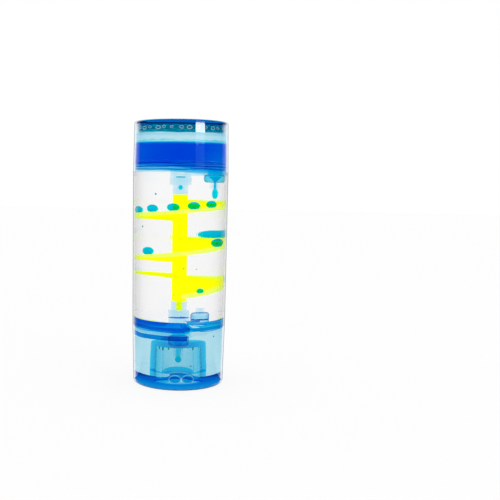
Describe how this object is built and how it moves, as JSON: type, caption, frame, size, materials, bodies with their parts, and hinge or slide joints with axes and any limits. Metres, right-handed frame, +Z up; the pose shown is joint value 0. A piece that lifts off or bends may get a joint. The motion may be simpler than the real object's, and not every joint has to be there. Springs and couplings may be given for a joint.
{
  "type": "liquid motion timer",
  "caption": "Clear sealed tube with tinted end cups, in which drops of coloured liquid roll down a spiral slide between three chambers.",
  "frame": {"origin": "middle of the base, on the plane that it stands on", "axes": "+Z up along the tube; -Y to the viewer, and angles run from there to the right (+X)"},
  "size_m": [0.051, 0.051, 0.14],
  "materials": {
    "clear_plastic": "polished",
    "tinted_plastic": "polished",
    "yellow_plastic": "polished",
    "blue_liquid": "liquid",
    "clear_oil": "liquid"
  },
  "bodies": {
    "root": {"clear_tube": "clear_plastic", "lower_end_cup": "tinted_plastic", "upper_end_cup": "tinted_plastic", "lower_divider_plate": "tinted_plastic", "upper_divider_plate": "tinted_plastic", "spiral_slide": "yellow_plastic", "upper_blue_liquid": "blue_liquid", "middle_blue_liquid": "blue_liquid", "lower_blue_liquid": "blue_liquid", "upper_clear_oil": "clear_oil", "middle_clear_oil": "clear_oil", "lower_clear_oil": "clear_oil", "ceiling_film": "blue_liquid", "core_drop": "blue_liquid", "drain_drop": "blue_liquid", "drip_drop": "blue_liquid", "hub_drop": "blue_liquid", "landed_drop_1": "blue_liquid", "landed_drop_2": "blue_liquid", "lower_ramp_drop_1": "blue_liquid", "lower_ramp_drop_2": "blue_liquid", "middle_ramp_drop_1": "blue_liquid", "middle_ramp_drop_2": "blue_liquid", "middle_ramp_drop_3": "blue_liquid", "upper_ramp_drop_1": "blue_liquid", "upper_ramp_drop_2": "blue_liquid", "upper_ramp_drop_3": "blue_liquid", "upper_ramp_drop_4": "blue_liquid", "upper_ramp_drop_5": "blue_liquid"}
  },
  "joints": []
}
